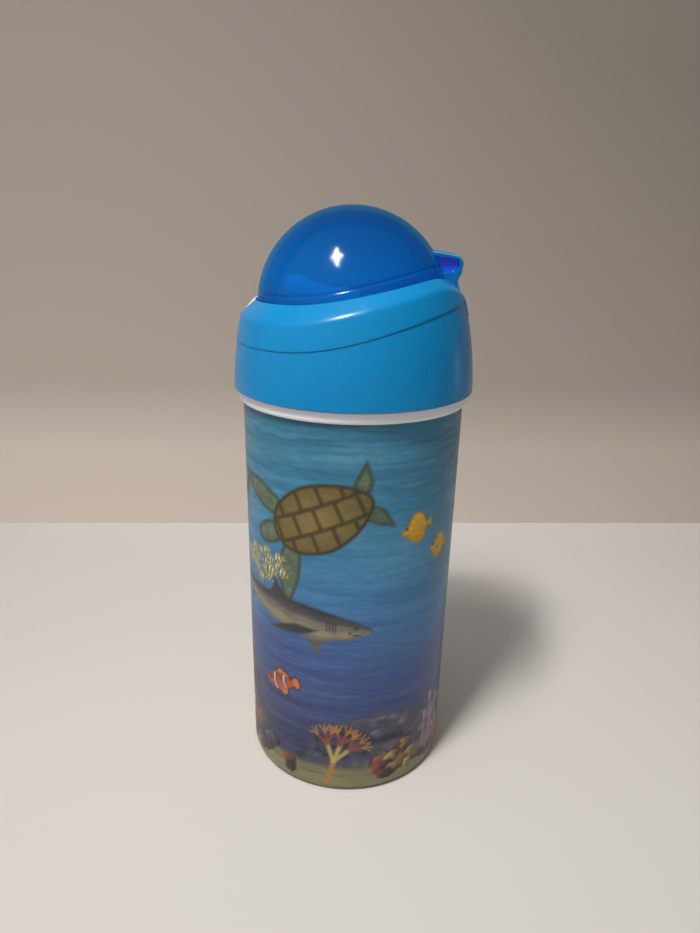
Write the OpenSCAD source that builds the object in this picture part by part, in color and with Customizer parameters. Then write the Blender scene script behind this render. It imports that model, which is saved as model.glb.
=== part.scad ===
// Kids water bottle with a screw lid, a flip-up dome and a pop-up straw spout.
// Millimetres. The origin is the centre of the face that the bottle stands on, +Z is up,
// -X is the drinking side with the latch button and +X is the side of the dome's hinge.

/* [Bottle] */
// Radius of the printed wall at its foot
foot_r = 34; // [33.8:0.1:34.2]
// Radius of the printed wall at its top
shoulder_r = 35.3; // [35.1:0.1:35.4]
// Height of the printed wall, up to the white flange
wall_h = 128.9; // [110:0.1:150]
// Thickness of the bottle's wall
wall_t = 1.8; // [1.4:0.1:2.2]
// Thickness of the printed film
film_t = 0.5; // [0.3:0.1:0.6]
// Radius of the foot's rounded corner, outside the film
corner_r = 2.5; // [2:0.1:3]
// Radius of the white flange under the lid
flange_r = 36.65; // [36.3:0.05:37]
// Height of the white flange
flange_h = 3.6; // [3:0.1:4]

/* [Neck and thread] */
// Outer radius of the neck between its thread ridges
neck_r = 30.4; // [30:0.1:30.6]
// Radius of the neck's bore
neck_bore_r = 28.4; // [28.2:0.1:28.8]
// Height of the neck above the flange
neck_h = 13; // [12.6:0.1:13.4]
// Rise of the lid in one full turn
thread_lead = 6; // [5.6:0.1:6.4]
// Number of thread starts
thread_starts = 2; // [1:1:2]
// Height of a thread ridge
thread_depth = 1; // [0.8:0.1:1]

/* [Lid collar] */
// Radius of the collar at its lower edge
collar_r = 38.03; // [37.8:0.01:38.3]
// Radius of the arc that the collar's side follows
collar_bow_r = 106; // [104:0.5:110]
// Thickness of the collar's skirt
skirt_t = 2; // [1.8:0.1:2.2]
// How far the bezel stands proud of the skirt at the step line
step_t = 0.3; // [0.2:0.05:0.4]
// Radius of the opening that the dome sits in
opening_r = 30; // [29.9:0.05:30.2]

/* [Dome and hinge] */
// Outer radius of the dome
dome_r = 29.49; // [29.3:0.01:29.5]
// Wall thickness of the dome
dome_t = 1.6; // [1.4:0.1:2]
// Radius of the hinge pin
pin_r = 1.25; // [1.1:0.05:1.3]
// Running clearance of the dome's knuckle on the pin
pin_gap = 0.05; // [0.02:0.01:0.1]
// Width of the hinge lug
lug_w = 11.6; // [10:0.2:12]

/* [Latch button] */
// Width of the button
button_w = 9.4; // [8.6:0.2:10]
// Radius of the button's trunnions
trunnion_r = 1; // [0.9:0.05:1.1]

/* [Spout and straw] */
// Length of the spout from its pivot to its tip
spout_len = 28; // [24:0.5:28]
// Radius of the spout's barrel
barrel_r = 4.2; // [4:0.1:4.3]
// Radius of the drinking passage
passage_r = 1.8; // [1.5:0.1:2]
// Outer radius of the straw
straw_r = 3; // [2.8:0.1:3]
// Gap between the straw and the floor of the bottle
straw_floor_gap = 5; // [3:0.5:12]

/* [Hidden] */
$fn = 96;
far = 60;                                  // reach of a cutting block past the part
flange_z = wall_h + flange_h;              // top of the white flange
neck_z = flange_z + neck_h;                // rim of the neck
gasket_t = 1.5;                            // height of the gasket
deck_z0 = neck_z + gasket_t;               // underside of the deck
deck_z = deck_z0 + 2;                      // top of the deck
insert_r = neck_r + thread_depth + 0.4;    // inner face of the insert's threaded skirt
deck_r = insert_r + 2.6;                   // edge of the deck
collar_z = flange_z + 0.3;                 // lower edge of the collar
floor_z = 3;                               // floor inside the bottle
recess_z = 1.2;                            // depth of the recess under the floor
dome_x = -0.88;                            // centre of the dome
dome_z = 158.03;
pin_x = 29.4;                              // axis of the hinge pin
pin_z = 162.8;
knuckle_r = 2.5;                           // knuckle of the lug round the pin
pin_end = 12.2;                            // blind end of the pin, along Y
rock_x = -32.2;                            // axis of the latch button
rock_z = 154.2;
window_w = button_w + 0.6;                 // width of the window for the button
window_z = deck_z + 1.2;                   // sill of the window
post_x = -29.2;                            // outer face of the spring post
spring_z = 152.1;                          // axis of the button's spring
spout_x = 5;                               // pivot of the spout
spout_z = 156.5;
fold_a = 15;                               // the folded spout points forward and this much up
ear_y = 7.4;                               // inner face of the spout's ears
ear_t = 2.4;                               // thickness of an ear
nipple_z = 138;                            // lower end of the straw nipple
vent_x = -11;                              // place of the vent valve on the deck
vent_y = 13;

// A curve that is level at low, then climbs: rise is its slope past start, soft its softness
function climb(x, low, rise, start, soft) = low + rise * soft * ln(1 + exp((x - start) / soft));
// Heights of the step line, the bevel's outer ridge and its inner rim, by place along X
function step_height(x) = climb(x, 147.45, 0.308, -11.8, 6.8);
function ridge_height(x) = climb(x, 155.6, 0.216, -17.9, 2.55);
function rim_height(x) = climb(x, 160.5, 0.198, -12.6, 5.1);
// Share, from 0 to 1, by which the bevel and the dome's edge sink towards the hinge, by azimuth from +X
function hinge_dip(a) = exp(-pow(abs(a > 180 ? a - 360 : a) / 30, 3));
// Height of the dome's lower edge
function edge_height(x) =
    climb(x, 157.58, 0.248, -14.1, 5.1) - 2.75 * hinge_dip(acos(max(-1, min(1, (x - dome_x) / dome_r))));
function ridge_r(a) = 34.2 - 1.2 * cos(a);
// Height of the bevel at radius r and azimuth a
function bevel_height(r, a) =
    let (rim = rim_height(opening_r * cos(a)) - 3.3 * hinge_dip(a),
         ridge = ridge_height(ridge_r(a) * cos(a)) - 3.8 * hinge_dip(a))
    rim + (ridge - rim) * (r - opening_r) / (ridge_r(a) - opening_r);
// Radius of the collar's side, and of the printed wall, at a height
function side_r(z) = collar_r - collar_bow_r + sqrt(pow(collar_bow_r, 2) - pow(z - 131, 2));
function film_r(z) = foot_r + (shoulder_r - foot_r) * z / wall_h;
function body_r(z) = film_r(z) - film_t;
// Points of an arc, from angle a0 to a1
function arc(x, y, r, a0, a1, steps = 8) =
    [for (i = [0:steps]) let (a = a0 + (a1 - a0) * i / steps) [x + r * cos(a), y + r * sin(a)]];

// A shape drawn in X and Z, extruded along Y to the given width about Y = 0
module slab(width) {
    translate([0, width / 2, 0]) rotate([90, 0, 0]) linear_extrude(width) children();
}

// A rod along Y between two places
module rod_y(x, z, r, y0, y1) {
    translate([x, y1, z]) rotate([90, 0, 0]) cylinder(r = r, h = y1 - y0);
}

// A ring about Z
module ring(r0, r1, z0, z1) {
    translate([0, 0, z0]) difference() {
        cylinder(r = r1, h = z1 - z0);
        translate([0, 0, -1]) cylinder(r = r0, h = z1 - z0 + 2);
    }
}

// Helical ridge: root and crest are radii, the crest being inside or outside the root
module thread_ridge(root, crest, z0, turns, start_a) {
    per_turn = 32;
    steps = ceil(turns * per_turn);
    fade = 4;                              // rings over which the ridge grows at each end
    rings = [for (i = [0:steps]) let (
        a = start_a + i * 360 / per_turn,
        z = z0 + thread_lead * i / per_turn,
        grow = max(0.55, min(1, min(i, steps - i) / fade)),
        top = root + (crest - root) * grow)
        [for (p = [[root, -0.95], [top, -0.5], [top, 0.5], [root, 0.95]])
            [p[0] * cos(a), p[0] * sin(a), z + p[1]]]];
    points = [for (r = rings) for (p = r) p];
    sides = [for (i = [0:steps - 1]) for (k = [0:3])
        let (n = (k + 1) % 4) [4 * i + k, 4 * (i + 1) + k, 4 * (i + 1) + n, 4 * i + n]];
    last = 4 * steps;
    ends = [[0, 1, 2, 3], [last + 3, last + 2, last + 1, last]];
    faces = concat(sides, ends);
    polyhedron(points, crest < root ? faces : [for (f = faces) [for (k = [3:-1:0]) f[k]]]);
}

module threads(root, crest, z0, turns) {
    for (s = [0:thread_starts - 1])
        thread_ridge(root, crest, z0, turns, s * 360 / thread_starts);
}

module bottle_body() {
    corner = corner_r - film_t;
    cx = foot_r - corner_r;
    color("white") {
        difference() {
            rotate_extrude() polygon(concat(
                [[0, recess_z], [cx - 5.5, recess_z], [cx - 4.3, 0], [cx + 0.4, 0]],
                arc(cx, corner_r, corner, -65, 0),
                [[body_r(wall_h), wall_h], [flange_r - 1.2, wall_h]],
                arc(flange_r - 1.2, wall_h + 1.2, 1.2, -90, 0, 6),
                [[flange_r, flange_z - 0.3], [flange_r - 0.3, flange_z], [neck_r, flange_z],
                 [neck_r, neck_z - 0.4], [neck_r - 0.4, neck_z], [0, neck_z]]));
            rotate_extrude() polygon(concat(
                [[0, floor_z]],
                arc(body_r(6) - wall_t - 3, floor_z + 3, 3, -90, 0),
                [[body_r(wall_h) - wall_t, wall_h - 3.5], [neck_bore_r, wall_h + 1.6],
                 [neck_bore_r, neck_z + 1], [0, neck_z + 1]]));
        }
        threads(neck_r - 0.5, neck_r + thread_depth, flange_z + 2.1, 1.25);
    }
}

module print_wrap() {
    inner = corner_r - film_t;
    cx = foot_r - corner_r;
    color([0.16, 0.42, 0.62]) rotate_extrude() polygon(concat(
        arc(cx, corner_r, corner_r, -60, 0),
        [[film_r(wall_h - 0.1), wall_h - 0.1], [body_r(wall_h - 0.1) + 0.02, wall_h - 0.1]],
        arc(cx + 0.02, corner_r, inner, 0, -60)));
}

module lid_gasket() {
    color([0.85, 0.87, 0.88]) ring(neck_bore_r + 0.1, neck_r + 0.6, neck_z, deck_z0);
}

module lid_insert() {
    plug_r = neck_bore_r - 0.5;
    boss_h = 4.9;                          // the boss stops just under the spout's barrel
    color("white") {
        difference() {
            union() {
                ring(insert_r, insert_r + 1.8, flange_z + 0.9, deck_z0 + 0.5);
                translate([0, 0, deck_z0]) cylinder(r = deck_r, h = deck_z - deck_z0);
                ring(plug_r - 1.4, plug_r, deck_z0 - 4, deck_z0 + 0.5);
                translate([spout_x, 0, nipple_z]) cylinder(r = straw_r, h = deck_z - nipple_z);
                translate([spout_x, 0, deck_z0]) cylinder(r = 6.4, h = boss_h);
                for (side = [-1, 1]) spout_ear(side);
                translate([post_x, -3, deck_z0 + 0.5]) cube([1.4, 6, 6]);
            }
            translate([spout_x, 0, nipple_z - 1]) cylinder(r = 2, h = 20);
            translate([spout_x, 0, deck_z]) cylinder(r = 4.6, h = 20);
            translate([vent_x, vent_y, deck_z0 - 1]) cylinder(r = 1.5, h = 5);
            rod_y(spout_x, spout_z, 2.06, -ear_y - ear_t - 1, ear_y + ear_t + 1);
        }
        threads(insert_r + 0.5, insert_r - thread_depth, flange_z + 3.6, 1.1);
    }
}

module spout_ear(side) {
    translate([0, side * (ear_y + ear_t / 2), 0]) slab(ear_t) {
        translate([spout_x - 3.6, deck_z0 + 0.5]) square([7.2, spout_z - deck_z0 - 0.5]);
        translate([spout_x, spout_z]) circle(r = 3.6);
    }
}

// Everything below the slanted step line, lowered by drop
module below_step(drop) {
    slab(2 * far) polygon(concat(
        [[-far, 100]],
        [for (x = [-far:2:far]) [x, step_height(x) - drop]],
        [[far, 100]]));
}

// Solid inside the collar's side, set in from the skirt's outer face
module collar_round(inset, z0, z1) {
    steps = 12;
    rotate_extrude() polygon(concat(
        [[0, z0]],
        [for (i = [0:steps]) let (z = z0 + (z1 - z0) * i / steps) [side_r(z) - inset, z]],
        [[0, z1]]));
}

// Everything above the bevel: a fan of straight slopes between the ridge and the rim
module above_bevel() {
    steps = 72;
    radii = [24, 42];
    low = [for (r = radii) for (i = [0:steps - 1]) let (a = i * 360 / steps)
        [r * cos(a), r * sin(a), bevel_height(r, a)]];
    top_z = 190;
    points = concat(low, [for (p = low) [p[0], p[1], top_z]]);
    inner_low = 0;
    outer_low = steps;
    inner_top = 2 * steps;
    outer_top = 3 * steps;
    polyhedron(points, [for (i = [0:steps - 1]) let (n = (i + 1) % steps) each [
        [inner_low + i, outer_low + i, outer_low + n, inner_low + n],
        [outer_low + i, outer_top + i, outer_top + n, outer_low + n],
        [outer_top + i, inner_top + i, inner_top + n, outer_top + n],
        [inner_top + i, inner_low + i, inner_low + n, inner_top + n]]]);
}

// Notch for the hinge lug: flared towards the dome, with a sloping floor
module hinge_notch() {
    half = lug_w / 2 + 0.4;
    intersection() {
        translate([0, 0, 150]) linear_extrude(40)
            polygon([[22, 11.2], [36.9, half], [44, half], [44, -half], [36.9, -half], [22, -11.2]]);
        slab(40) polygon([[22, 159.6], [31, 159.6], [36, 156.2], [44, 156.2], [44, 190],
                          [22, 190]]);
    }
}

// Window for the latch button, open at its top
module latch_window() {
    translate([-44, -window_w / 2, window_z]) cube([20, window_w, 40]);
}

module collar_skirt() {
    color([0.12, 0.53, 0.79]) {
        difference() {
            intersection() {
                collar_round(0, collar_z, 164);
                below_step(0.05);
            }
            collar_round(skirt_t, collar_z - 1, 165);
            hinge_notch();
        }
        bead_z = deck_z0 - 1.3;
        ring(insert_r + 2.1, side_r(bead_z) - skirt_t + 0.3,
             bead_z, bead_z + 1);
    }
}

module collar_bezel() {
    color([0.13, 0.56, 0.83]) difference() {
        collar_round(-step_t, deck_z0 + 0.3, 170);
        translate([0, 0, deck_z0]) cylinder(r = deck_r + 0.3, h = deck_z + 0.05 - deck_z0);
        intersection() {
            difference() {
                translate([0, 0, 100]) cylinder(r = far, h = 80);
                collar_round(skirt_t + 0.06, deck_z - 1, 171);
            }
            below_step(0);
        }
        translate([dome_x, 0, deck_z - 1]) cylinder(r = opening_r, h = 40);
        above_bevel();
        hinge_notch();
        latch_window();
        rod_y(pin_x, pin_z, pin_r, -pin_end - 0.1, pin_end + 0.9);
        rod_y(rock_x, rock_z, trunnion_r + 0.06, -window_w / 2 - 1.3, window_w / 2 + 1.3);
    }
}

module hinge_pin() {
    color("silver") rod_y(pin_x, pin_z, pin_r, -pin_end, pin_end + 0.8);
}

// Side view of the hinge lug: a round-ended block whose foot curls down to the knuckle
module lug_side() {
    polygon(concat(
        [[20, 175.4], [22.6, 175], [27.6, 174.3]],
        arc(29.6, 171.2, 2.7, 80, -20, 8),
        [[31.9, 168.3], [31.1, 167], [30.9, 166.2], [31.2, 165], [pin_x, pin_z],
         [pin_x - 2.2, pin_z + 1.2], [26.6, 165.6], [24.6, 166.6], [20, 166.9]]));
    translate([pin_x, pin_z]) circle(r = knuckle_r);
}

// Pockets that make the sides of the lug into a raised rim
module lug_pockets() {
    for (side = [-1, 1]) translate([0, side * (lug_w / 2 + 3.7), 0]) slab(10)
        polygon(concat([[21, 173.6], [27.2, 173.1]],
                       arc(29.3, 171.2, 1.6, 80, -30, 6),
                       [[29.6, 168.6], [27, 168.4], [21, 168.2]]));
}

module dome_cover() {
    lug_x = 24.2;                          // the lug reaches below the dome's edge past this place
    color([0.05, 0.28, 0.72, 0.75]) difference() {
        union() {
            difference() {
                translate([dome_x, 0, dome_z]) sphere(r = dome_r);
                slab(2 * far) polygon(concat(
                    [[-far, 120]],
                    [for (x = [-far:1:far]) [x, edge_height(x)]],
                    [[far, 120]]));
            }
            slab(lug_w) intersection() {
                lug_side();
                union() {
                    translate([lug_x, 150]) square([20, 30]);
                    translate([lug_x - 10, 167.4]) square([20, 20]);
                }
            }
        }
        lug_pockets();
        translate([dome_x, 0, dome_z]) sphere(r = dome_r - dome_t);
        rod_y(pin_x, pin_z, pin_r + pin_gap, -far / 2, far / 2);
    }
}

// Rocker plate that follows the bevel and the side, with a web and a trunnion at each end
module latch_button() {
    half = button_w / 2;
    web_t = 1.2;
    foot_z = window_z + 0.8;
    color([0.93, 0.93, 0.92]) {
        intersection() {
            rotate_extrude() polygon(concat(
                [[30.8, 158.9], [30.8, 159.55], [31.1, 159.8], [32.6, 158.3]],
                arc(33.8, 155.1, 1.4, 49, 5, 6),
                [for (z = [153.5:-1.4:foot_z]) [side_r(z) + step_t - 0.1, z]],
                [[side_r(foot_z) + step_t - 0.1, foot_z], [side_r(foot_z) - 1.7, foot_z],
                 [34, 153.4], [33.2, 155.2], [31.4, 157.4]]));
            translate([-far, -half, 140]) cube([far, button_w, 40]);
        }
        for (side = [-1, 1]) {
            translate([0, side * (half - web_t / 2), 0]) slab(web_t) {
                intersection() {
                    translate([rock_x - 1.8, rock_z - 2]) square([4, 4]);
                    translate([rock_x, rock_z]) circle(r = 2.2);
                }
                translate([rock_x - 2.2, rock_z - 1.6]) square([2, 3.2]);
            }
            rod_y(rock_x, rock_z, trunnion_r,
                  side > 0 ? half - 0.3 : -half - 1.1, side > 0 ? half + 1.1 : -half + 0.3);
        }
    }
}

// Coil spring along X between the post and the back of the button
module button_spring() {
    wire_r = 0.22;
    coil_r = 1.25;
    x0 = -33.7;
    x1 = post_x - 0.25;
    turns = 5;
    per_turn = 20;
    steps = turns * per_turn;
    sides = 6;
    rings = [for (i = [0:steps]) let (a = i * 360 / per_turn, x = x0 + (x1 - x0) * i / steps)
        [for (k = [0:sides - 1]) let (b = k * 360 / sides, r = coil_r + wire_r * cos(b))
            [x + wire_r * sin(b), r * cos(a), spring_z + r * sin(a)]]];
    points = [for (r = rings) for (p = r) p];
    walls = [for (i = [0:steps - 1]) for (k = [0:sides - 1]) let (n = (k + 1) % sides)
        [sides * i + k, sides * i + n, sides * (i + 1) + n, sides * (i + 1) + k]];
    color("silver") polyhedron(points, concat(walls,
        [[for (k = [sides - 1:-1:0]) k], [for (k = [0:sides - 1]) sides * steps + k]]));
}

// Places its children with +Z along the folded spout
module along_spout() {
    translate([spout_x, 0, spout_z]) rotate([0, fold_a - 90, 0]) children();
}

module spout_barrel() {
    color("white") difference() {
        union() {
            rod_y(spout_x, spout_z, barrel_r, -ear_y + 0.3, ear_y - 0.3);
            rod_y(spout_x, spout_z, 2, -ear_y - ear_t, ear_y + ear_t);
            along_spout() cylinder(r = 3.4, h = 12);
        }
        along_spout() translate([0, 0, -10]) cylinder(r = passage_r, h = 30);
    }
}

module spout_mouthpiece() {
    neck = 3.5;
    tip = 4.3;
    z0 = barrel_r + 0.6;
    color([0.88, 0.9, 0.92]) along_spout() rotate_extrude() polygon(concat(
        [[3.4, z0], [tip + 0.3, z0], [tip + 0.3, z0 + 5], [neck, z0 + 8], [neck, spout_len - 8]],
        arc(tip - 1.6, spout_len - 4, 1.6, -30, 60, 6),
        arc(passage_r + 1, spout_len - 1, 1, 60, 120, 3),
        [[passage_r, spout_len - 1.5], [passage_r, 12], [3.4, 12]]));
}

module spout_seal() {
    color([0.75, 0.78, 0.8]) difference() {
        translate([spout_x, 0, deck_z]) cylinder(r = 4.6, h = 4.4);
        translate([spout_x, 0, deck_z - 1]) cylinder(r = passage_r, h = 10);
        rod_y(spout_x, spout_z, barrel_r + 0.15, -10, 10);
    }
}

module vent_valve() {
    color([0.75, 0.78, 0.8]) translate([vent_x, vent_y, 0]) rotate_extrude() polygon([
        [0, deck_z0 - 2.6], [0.7, deck_z0 - 2.6], [2.1, deck_z0 - 0.9], [2.1, deck_z0],
        [1.5, deck_z0], [1.5, deck_z], [4, deck_z], [3.6, deck_z + 0.7], [1.6, deck_z + 1.1],
        [0, deck_z + 1.2]]);
}

module straw_sleeve() {
    color([0.85, 0.87, 0.88]) translate([spout_x, 0, 0])
        ring(straw_r, straw_r + 1.5, nipple_z - 7, deck_z0);
}

module straw() {
    z0 = floor_z + straw_floor_gap;
    color([0.55, 0.8, 0.95]) translate([spout_x, 0, 0])
        ring(straw_r - 0.6, straw_r, z0, nipple_z - 0.5);
}

bottle_body();
print_wrap();
lid_gasket();
lid_insert();
collar_skirt();
collar_bezel();
hinge_pin();
dome_cover();
latch_button();
button_spring();
spout_barrel();
spout_mouthpiece();
spout_seal();
vent_valve();
straw_sleeve();
straw();
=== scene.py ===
"""A kids water bottle: printed wall, white flange, blue screw lid, flip-up dome and pop-up spout.

Lengths are in millimetres, as in the CAD, and MM turns them into Blender's metres. The curves of the
collar and the dome are the CAD's own, so each smooth piece here lies where its CAD node does.
-Y faces the camera, -X is the drinking side and +X the side of the dome's hinge.
"""

import math

import bmesh
import bpy
import numpy as np
from mathutils import Matrix, Quaternion, Vector


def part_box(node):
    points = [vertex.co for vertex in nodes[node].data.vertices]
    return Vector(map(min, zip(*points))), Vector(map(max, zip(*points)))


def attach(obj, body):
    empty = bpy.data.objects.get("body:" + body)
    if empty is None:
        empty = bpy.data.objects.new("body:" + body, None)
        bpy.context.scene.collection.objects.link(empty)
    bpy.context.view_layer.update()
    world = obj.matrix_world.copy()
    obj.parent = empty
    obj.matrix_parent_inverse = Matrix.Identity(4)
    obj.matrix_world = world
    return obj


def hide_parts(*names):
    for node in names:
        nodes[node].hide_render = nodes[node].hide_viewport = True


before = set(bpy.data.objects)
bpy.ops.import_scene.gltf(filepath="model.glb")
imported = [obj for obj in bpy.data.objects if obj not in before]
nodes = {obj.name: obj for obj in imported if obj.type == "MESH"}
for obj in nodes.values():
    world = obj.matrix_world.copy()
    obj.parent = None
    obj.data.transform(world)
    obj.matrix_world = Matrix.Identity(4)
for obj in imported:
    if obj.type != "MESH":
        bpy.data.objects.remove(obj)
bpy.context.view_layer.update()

MM = 0.001

# ---------------------------------------------------------------- sizes
FOOT_R = 34.0  # printed wall, at its foot
CORNER_R = 2.5
WALL_TOP_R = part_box("print_wrap")[1].x / MM
WALL_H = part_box("print_wrap")[1].z / MM + 0.1
FILM_T = 0.5
PRINT_R = 34.9  # the radius that the print is laid out on
PRINT_GAIN = 0.95  # from the tones as seen in the room's light to the film's own

COLLAR_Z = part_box("collar_skirt")[0].z / MM
COLLAR_R = 38.03
COLLAR_BOW_R = 106.0
STEP_T = 0.3
SKIRT_T = 2.0
OPENING_R = 30.0
DECK_Z = 149.05

DOME_R = 29.49
DOME_T = 1.6
DOME_X, DOME_Z = -0.88, 158.03
PIN_X, PIN_Z = 29.4, 162.8
LUG_HALF = 5.8
NOTCH_A = math.atan2(9.4, 27.61 + 0.88)  # from the hinge to the notch's corner, about the dome's centre

WALL_Y, WALL_SLOPE = 195, 0.059  # the board behind, which runs level across the view

WINDOW_HALF = 5.0
WINDOW_Z = 150.2
BUTTON_HALF = 4.7


# ---------------------------------------------------------------- the collar's curves, as in the CAD
def climb(x, low, rise, start, soft):
    return low + rise * soft * np.log1p(np.exp((x - start) / soft))


def step_height(x):
    return climb(x, 147.45, 0.308, -11.8, 6.8)


def ridge_height(x):
    return climb(x, 155.6, 0.216, -17.9, 2.55)


def rim_height(x):
    return climb(x, 160.5, 0.198, -12.6, 5.1)


def hinge_dip(a):
    """Share by which the bevel and the dome's edge sink towards the hinge, by azimuth from +X."""
    return np.exp(-(abs(np.degrees(a) / 30) ** 3))


def edge_height(x):
    return climb(x, 157.58, 0.248, -14.1, 5.1) - 2.75 * hinge_dip(
        np.arccos(np.clip((x - DOME_X) / DOME_R, -1, 1))
    )


def side_r(z):
    return COLLAR_R - COLLAR_BOW_R + np.sqrt(COLLAR_BOW_R**2 - (z - 131) ** 2)


def film_r(z):
    return FOOT_R + (WALL_TOP_R - FOOT_R) * z / WALL_H


def bevel_height(x, y):
    """Height of the bevel over a place, between its outer ridge and its inner rim."""
    r, a = np.hypot(x, y), np.arctan2(y, x)
    ridge_r = 34.2 - 1.2 * np.cos(a)
    rim = rim_height(OPENING_R * np.cos(a)) - 3.3 * hinge_dip(a)
    ridge = ridge_height(ridge_r * np.cos(a)) - 3.8 * hinge_dip(a)
    return rim + (ridge - rim) * (r - OPENING_R) / (ridge_r - OPENING_R)


def notch_floor(x):
    return np.interp(x, [31, 36], [159.6, 156.2])


# ---------------------------------------------------------------- meshes
def grid_faces(rows, cols, close_rows=False):
    """Quads of a grid whose columns close round, facing out for a counter-clockwise turn seen from above."""
    i = np.arange(rows if close_rows else rows - 1)[:, None]
    j = np.arange(cols)[None, :]
    up, over = (i + 1) % rows, (j + 1) % cols
    corners = [i * cols + j, i * cols + over, up * cols + over, up * cols + j]
    return np.stack([np.broadcast_to(c, (len(i), cols)) for c in corners], -1).reshape(-1, 4)


def mesh_object(name, points, faces, sharp=40.0):
    """A smooth object from points in millimetres; edges steeper than sharp degrees stay crisp."""
    mesh = bpy.data.meshes.new(name)
    mesh.from_pydata((np.asarray(points, float).reshape(-1, 3) * MM).tolist(), [], [list(f) for f in faces])
    mesh.validate()
    made = bpy.data.objects.new(name, mesh)
    bpy.context.scene.collection.objects.link(made)
    mesh.shade_smooth()
    mesh.set_sharp_from_angle(angle=math.radians(sharp))
    return made


def apply_modifiers(thing):
    """Bakes an object's modifiers into its mesh."""
    shown = thing.evaluated_get(bpy.context.evaluated_depsgraph_get())
    mesh = bpy.data.meshes.new_from_object(shown)
    thing.modifiers.clear()
    thing.data = mesh
    return thing


def boolean(thing, other, operation):
    """Cuts other from thing, or joins it to thing, and removes other."""
    modifier = thing.modifiers.new("cut", "BOOLEAN")
    modifier.operation = operation
    modifier.solver = "EXACT"
    modifier.object = other
    apply_modifiers(thing)
    bpy.data.objects.remove(other)
    return thing


def bevel(thing, width, segments=3, angle=40.0):
    modifier = thing.modifiers.new("round", "BEVEL")
    modifier.width = width * MM
    modifier.segments = segments
    modifier.limit_method = "ANGLE"
    modifier.angle_limit = math.radians(angle)
    return apply_modifiers(thing)


def smooth(thing, sharp=40.0):
    thing.data.shade_smooth()
    thing.data.set_sharp_from_angle(angle=math.radians(sharp))
    return thing


def place(thing, body, slot, material, *replaced):
    """Gives a piece its material and body, and says which CAD nodes it stands for."""
    thing.data.materials.clear()
    thing.data.materials.append(material)
    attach(thing, body)
    if replaced:
        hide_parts(*replaced)
    return thing


def arc(x, y, r, a0, a1, steps):
    a = np.radians(np.linspace(a0, a1, steps + 1))
    return np.stack([x + r * np.cos(a), y + r * np.sin(a)], -1)


def revolve(profile, cols):
    """Points of a closed profile of radius and height turned about Z."""
    a = np.linspace(0, 2 * math.pi, cols, endpoint=False)
    r, z = np.asarray(profile, float).T
    return np.stack(
        [r[:, None] * np.cos(a), r[:, None] * np.sin(a), np.broadcast_to(z[:, None], (len(r), cols))], -1,
    )


def curve_between(start, corner, end, steps):
    """A corner rounded by a quadratic curve, as rows of points."""
    t = np.linspace(0, 1, steps + 1)[:, None, None]
    return (1 - t) ** 2 * start + 2 * t * (1 - t) * corner + t**2 * end


# ---------------------------------------------------------------- materials
class Graph:
    """A material's node tree, with short calls for the nodes used here."""

    def __init__(self, name):
        self.material = bpy.data.materials.new(name)
        self.material.use_nodes = True
        self.tree = self.material.node_tree
        self.shader = self.tree.nodes["Principled BSDF"]
        self.output = self.tree.nodes["Material Output"]
        self.place = None

    def node(self, kind, **settings):
        made = self.tree.nodes.new("ShaderNode" + kind)
        for key, value in settings.items():
            setattr(made, key, value)
        return made

    def join(self, source, socket):
        """Feeds a socket from another node's output, or sets its value."""
        if isinstance(source, bpy.types.NodeSocket):
            self.tree.links.new(source, socket)
        else:
            socket.default_value = source

    def set(self, **values):
        for key, value in values.items():
            self.join(value, self.shader.inputs[key.replace("_", " ")])
        return self

    def object_place(self):
        if self.place is None:
            self.place = self.node("TexCoord").outputs["Object"]
        return self.place

    def math(self, operation, a, b=0.0, c=0.0):
        made = self.node("Math", operation=operation)
        for value, socket in zip((a, b, c), made.inputs, strict=False):
            self.join(value, socket)
        return made.outputs[0]

    def stretched(self, scale):
        made = self.node("Mapping")
        self.join(self.object_place(), made.inputs["Vector"])
        made.inputs["Scale"].default_value = scale
        return made.outputs[0]

    def noise(self, scale, detail=2.0, roughness=0.5, vector=None):
        made = self.node("TexNoise")
        self.join(vector or self.object_place(), made.inputs["Vector"])
        made.inputs["Scale"].default_value = scale
        made.inputs["Detail"].default_value = detail
        made.inputs["Roughness"].default_value = roughness
        return made.outputs["Fac"]

    def remap(self, value, low, high, to_low, to_high):
        made = self.node("MapRange")
        for v, socket in zip((value, low, high, to_low, to_high), made.inputs, strict=False):
            self.join(v, socket)
        return made.outputs[0]

    def mix(self, factor, a, b, blend="MIX"):
        made = self.node("Mix", data_type="RGBA", blend_type=blend)
        self.join(factor, made.inputs[0])
        self.join(a, made.inputs[6])
        self.join(b, made.inputs[7])
        return made.outputs[2]

    def bump(self, height, strength, distance):
        made = self.node("Bump")
        made.inputs["Strength"].default_value = strength
        made.inputs["Distance"].default_value = distance * MM
        self.join(height, made.inputs["Height"])
        self.join(made.outputs[0], self.shader.inputs["Normal"])
        return self


def colour(red, green, blue, alpha=1.0):
    """A shader colour from the usual 0 to 255 values."""
    values = [c / 255 for c in (red, green, blue)]
    return tuple(c / 12.92 if c <= 0.04045 else ((c + 0.055) / 1.055) ** 2.4 for c in values) + (alpha,)


def moulded_plastic(name, tint, worn, roughness, gloss=0.5, grain=0.02):
    """Moulded plastic: cloudy colour, a faint orange peel and a few small scuffs."""
    g = Graph(name)
    base = g.mix(g.remap(g.noise(60, 3), 0.3, 0.7, 0, 0.5), tint, worn)
    specks = g.remap(g.noise(700, 0, 0, g.stretched((1, 1, 0.6))), 0.86, 0.9, 0, 0.35)
    base = g.mix(specks, base, colour(225, 235, 245))
    g.set(
        Base_Color=base, Roughness=g.remap(g.noise(120, 3), 0.3, 0.7, roughness - 0.04, roughness + 0.05),
        Specular_IOR_Level=gloss, IOR=1.5,
    )
    g.bump(g.noise(45, 1), 0.06, grain)
    return g.material


def collar_plastic():
    return moulded_plastic("collar_plastic", colour(0, 130, 191), colour(0, 136, 199), 0.27, 0.4)


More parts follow.
